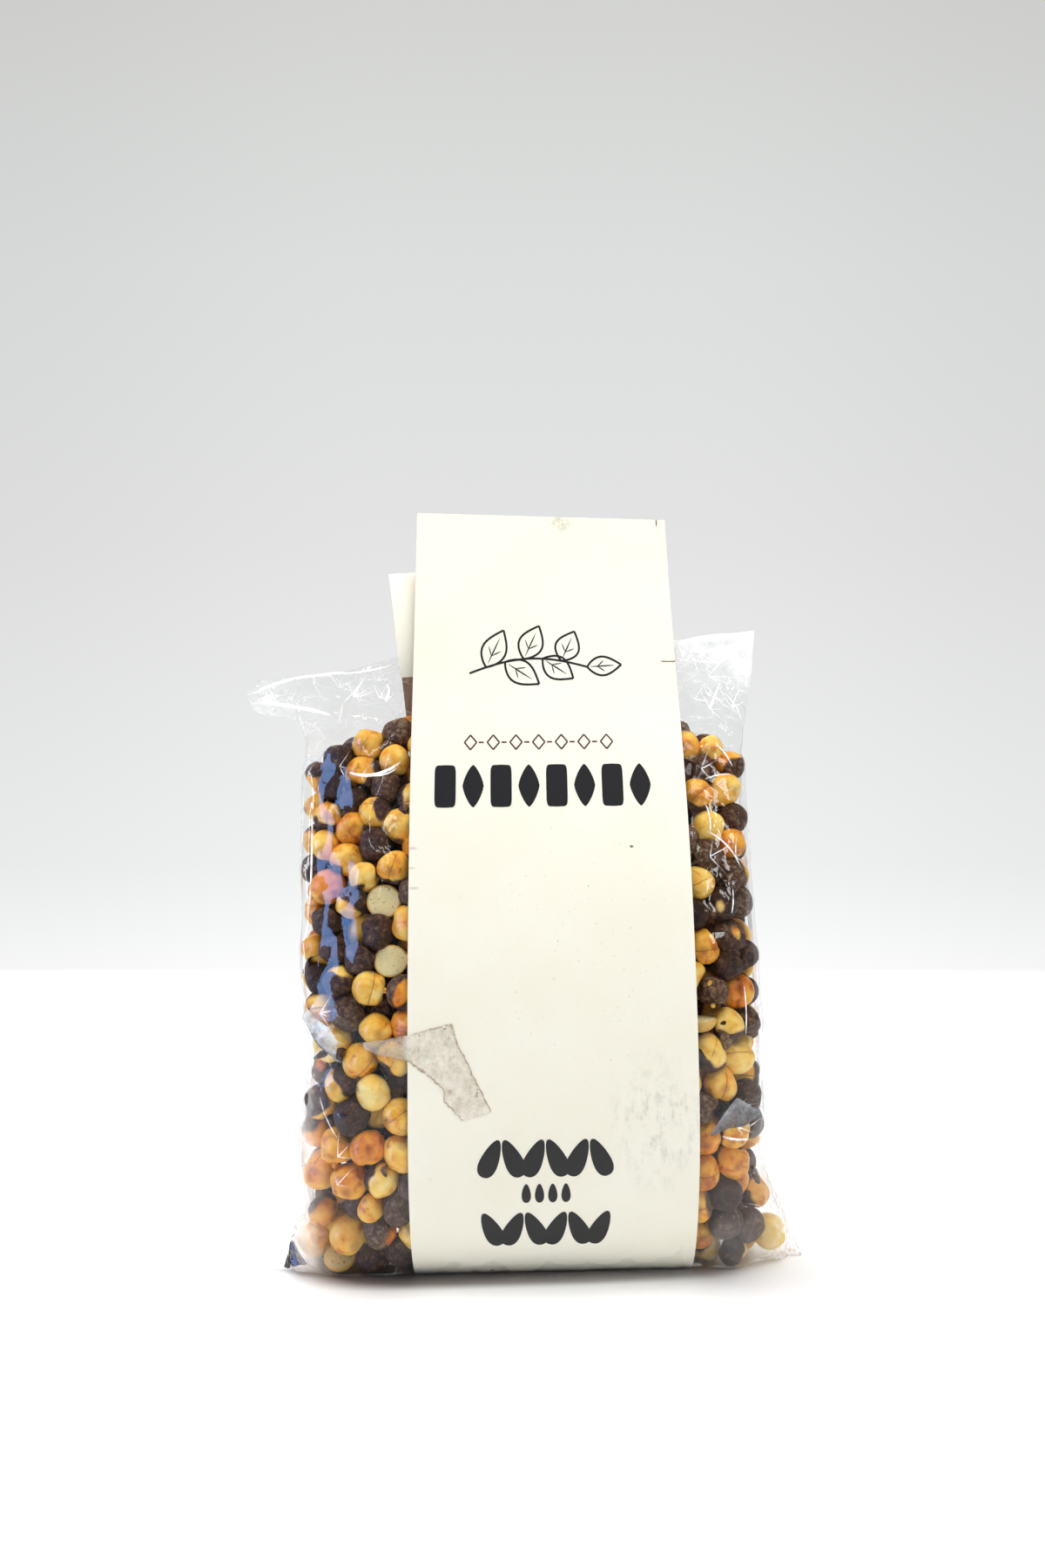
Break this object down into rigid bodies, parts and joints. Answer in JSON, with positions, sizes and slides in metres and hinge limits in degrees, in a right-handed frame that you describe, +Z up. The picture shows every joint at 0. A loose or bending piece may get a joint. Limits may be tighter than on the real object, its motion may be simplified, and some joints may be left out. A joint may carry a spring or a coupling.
{
  "type": "bag of roasted chickpeas",
  "caption": "Clear sealed pouch of roasted chickpeas in mixed dark skins and bare yellow kernels, standing in a plain printed card band that wraps under it and folds over at the back.",
  "frame": {"origin": "centre of the flat that the pack stands on, under the card band", "axes": "+X to the right of the printed front panel as it is looked at, +Y from the front panel to the back, +Z up"},
  "size_m": [0.1544, 0.0545, 0.2165],
  "materials": {
    "chickpeas": "matt roasted skins and satin bare kernels",
    "film": "clear glossy crackly film",
    "card": "matt, slightly soiled",
    "tape": "aged clear tape with dirt on it"
  },
  "bodies": {
    "root": {"bag": "chickpeas", "card_band": "card", "tape": "tape"}
  },
  "joints": []
}
